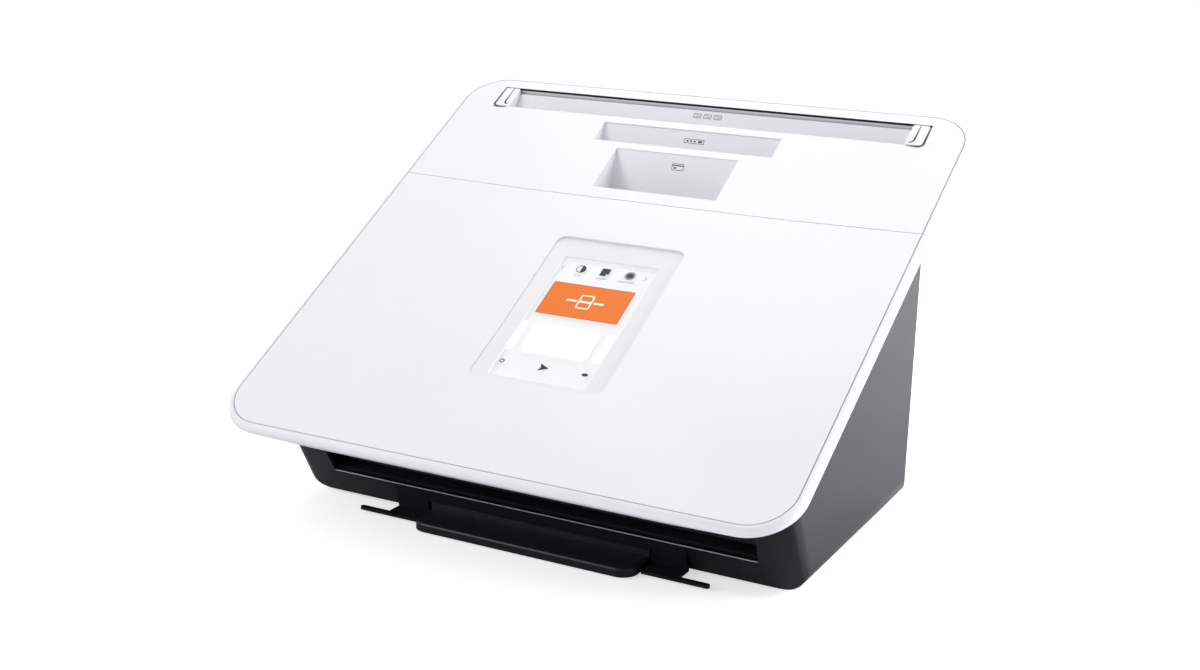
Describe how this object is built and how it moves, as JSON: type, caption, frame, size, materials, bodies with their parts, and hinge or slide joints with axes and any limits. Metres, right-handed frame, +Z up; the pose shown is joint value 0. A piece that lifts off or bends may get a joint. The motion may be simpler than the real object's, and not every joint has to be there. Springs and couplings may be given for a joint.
{
  "type": "document scanner",
  "caption": "Sheet-fed desk scanner with a sloping panel, hinged cover with a touch screen, lift-off input tray with three paper slots and a pull-out output tray.",
  "frame": {"origin": "on the table under the middle of the whole scanner", "axes": "+X across to the right as seen from the front, +Y to the back, +Z up"},
  "size_m": [0.279, 0.2322, 0.1817],
  "materials": {
    "white_plastic": "fine satin moulding, slightly warm white",
    "tray_plastic": "fine matt moulding inside the tray",
    "guide_plastic": "smooth white moulding",
    "charcoal_plastic": "satin charcoal with a fine grain",
    "black_plastic": "plain matt black moulding",
    "gear_plastic": "unfilled acetal",
    "rubber": "matt rubber",
    "steel": "drawn steel",
    "brass": "turned brass",
    "chassis_plastic": "dark filled moulding",
    "glass": "clear plate glass",
    "display": "lit colour display",
    "circuit_board": "green lacquered board",
    "socket": "stamped socket shells"
  },
  "bodies": {
    "base": {"base_housing": "charcoal_plastic", "rubber_feet": "rubber", "base_screws": "steel", "chassis_plate": "chassis_plastic", "side_frame_left": "steel", "side_frame_right": "steel", "roller_bushes": "gear_plastic", "cover_hinge_pins": "steel", "lower_paper_guide": "black_plastic", "lower_scan_module": "chassis_plastic", "lower_scan_glass": "glass", "drive_belt": "rubber", "feed_motor": "steel", "main_board": "circuit_board", "power_jack": "socket", "usb_socket": "socket", "card_reader": "socket"},
    "front_cover": {"cover_shell": "white_plastic", "cover_liner": "black_plastic", "display_bezel": "white_plastic", "touch_glass": "glass", "display_panel": "display", "display_board": "circuit_board", "upper_paper_guide": "black_plastic", "upper_scan_module": "chassis_plastic", "upper_scan_glass": "glass", "cover_screws": "steel", "cover_catches": "black_plastic", "pad_pivot_pin": "steel", "pad_spring": "steel"},
    "separation_pad_arm": {"pad_holder": "black_plastic", "separation_pad": "rubber"},
    "exit_pinch": {"exit_pinch_roller": "gear_plastic"},
    "feed_pinch": {"feed_pinch_roller": "gear_plastic"},
    "exit_drive": {"exit_roller_shaft": "steel", "exit_roller_tyres": "rubber", "exit_pulley": "gear_plastic"},
    "feed_drive": {"feed_roller_shaft": "steel", "feed_roller_tyres": "rubber", "feed_pulley": "gear_plastic", "feed_gear": "gear_plastic"},
    "pick_drive": {"pick_roller_shaft": "steel", "pick_roller_tyre": "rubber", "pick_gear": "gear_plastic"},
    "pick_idler": {"pick_idler_gear": "gear_plastic"},
    "reduction": {"reduction_gear": "gear_plastic"},
    "motor_rotor": {"motor_shaft": "steel", "motor_pinion": "brass"},
    "sensor_flag": {"paper_sensor_flag": "black_plastic"},
    "input_tray": {"input_tray_panel": "white_plastic", "input_tray_back": "black_plastic", "document_chute": "tray_plastic", "receipt_chute": "tray_plastic", "card_chute": "tray_plastic"},
    "left_guide": {"left_paper_guide": "guide_plastic"},
    "right_guide": {"right_paper_guide": "guide_plastic"},
    "guide_wheel": {"guide_pinion": "gear_plastic"},
    "output_tray": {"output_tray": "black_plastic"},
    "tray_extension": {"tray_extension": "black_plastic"},
    "power_button": {"power_button": "black_plastic"}
  },
  "joints": [
    {"name": "cover_hinge", "type": "hinge", "parent": "base", "child": "front_cover", "pos_m": [0, -0.07671, 0.05075], "axis": [1, 0, 0], "range_deg": [0, 45]},
    {"name": "pad_pivot", "type": "hinge", "parent": "front_cover", "child": "separation_pad_arm", "pos_m": [0, 0.02733, 0.09695], "axis": [1, 0, 0], "range_deg": [0, 6], "stiffness_Nm_per_rad": 0.2, "springref_deg": -11.46},
    {"name": "exit_pinch_spin", "type": "hinge", "parent": "front_cover", "child": "exit_pinch", "pos_m": [0, -0.05719, 0.04735], "axis": [1, 0, 0], "continuous": true},
    {"name": "feed_pinch_spin", "type": "hinge", "parent": "front_cover", "child": "feed_pinch", "pos_m": [0, 0.00949, 0.08585], "axis": [1, 0, 0], "continuous": true},
    {"name": "exit_drive_spin", "type": "hinge", "parent": "base", "child": "exit_drive", "pos_m": [0, -0.05004, 0.03496], "axis": [1, 0, 0], "continuous": true},
    {"name": "feed_drive_spin", "type": "hinge", "parent": "base", "child": "feed_drive", "pos_m": [0, 0.01664, 0.07346], "axis": [1, 0, 0], "continuous": true},
    {"name": "pick_drive_spin", "type": "hinge", "parent": "base", "child": "pick_drive", "pos_m": [0, 0.04945, 0.08663], "axis": [1, 0, 0], "continuous": true},
    {"name": "pick_idler_spin", "type": "hinge", "parent": "base", "child": "pick_idler", "pos_m": [0.117, 0.0339, 0.06335], "axis": [1, 0, 0], "continuous": true},
    {"name": "reduction_spin", "type": "hinge", "parent": "base", "child": "reduction", "pos_m": [0.117, 0.0104, 0.04412], "axis": [1, 0, 0], "continuous": true},
    {"name": "motor_spin", "type": "hinge", "parent": "base", "child": "motor_rotor", "pos_m": [0.11, 0.03404, 0.03995], "axis": [1, 0, 0], "continuous": true},
    {"name": "flag_pivot", "type": "hinge", "parent": "base", "child": "sensor_flag", "pos_m": [0.06, 0.03198, 0.0829], "axis": [1, 0, 0], "range_deg": [0, 60], "stiffness_Nm_per_rad": 0.002, "springref_deg": -17.19},
    {"name": "tray_lift", "type": "slide", "parent": "base", "child": "input_tray", "axis": [0, -0.5, 0.866], "range_m": [0, 0.06]},
    {"name": "left_guide_slide", "type": "slide", "parent": "input_tray", "child": "left_guide", "axis": [1, 0, 0], "range_m": [0, 0.07]},
    {"name": "right_guide_slide", "type": "slide", "parent": "input_tray", "child": "right_guide", "axis": [1, 0, 0], "range_m": [-0.07, 0]},
    {"name": "guide_pinion_turn", "type": "hinge", "parent": "input_tray", "child": "guide_wheel", "pos_m": [0, 0.10088, 0.15356], "axis": [0, -0.5, 0.866], "range_deg": [0, 802.2]},
    {"name": "output_tray_slide", "type": "slide", "parent": "base", "child": "output_tray", "axis": [0, -1, 0], "range_m": [0, 0.095]},
    {"name": "tray_extension_slide", "type": "slide", "parent": "output_tray", "child": "tray_extension", "axis": [0, -1, 0], "range_m": [0, 0.08]},
    {"name": "power_button_press", "type": "slide", "parent": "base", "child": "power_button", "axis": [0, -1, 0], "range_m": [0, 0.0015], "stiffness_N_per_m": 400, "springref_m": -0.001}
  ],
  "couplings": [
    {"joint": "feed_drive_spin", "follows": "pick_drive_spin", "ratio": 1.6667},
    {"joint": "exit_drive_spin", "follows": "pick_drive_spin", "ratio": 1.6667},
    {"joint": "pick_idler_spin", "follows": "pick_drive_spin", "ratio": -2.5},
    {"joint": "reduction_spin", "follows": "pick_drive_spin", "ratio": -1.1111},
    {"joint": "motor_spin", "follows": "pick_drive_spin", "ratio": 3.3333},
    {"joint": "feed_pinch_spin", "follows": "pick_drive_spin", "ratio": -2.2222},
    {"joint": "exit_pinch_spin", "follows": "pick_drive_spin", "ratio": -2.2222},
    {"joint": "right_guide_slide", "follows": "left_guide_slide", "ratio": -1},
    {"joint": "guide_pinion_turn", "follows": "left_guide_slide", "rad_per_m": 200}
  ]
}
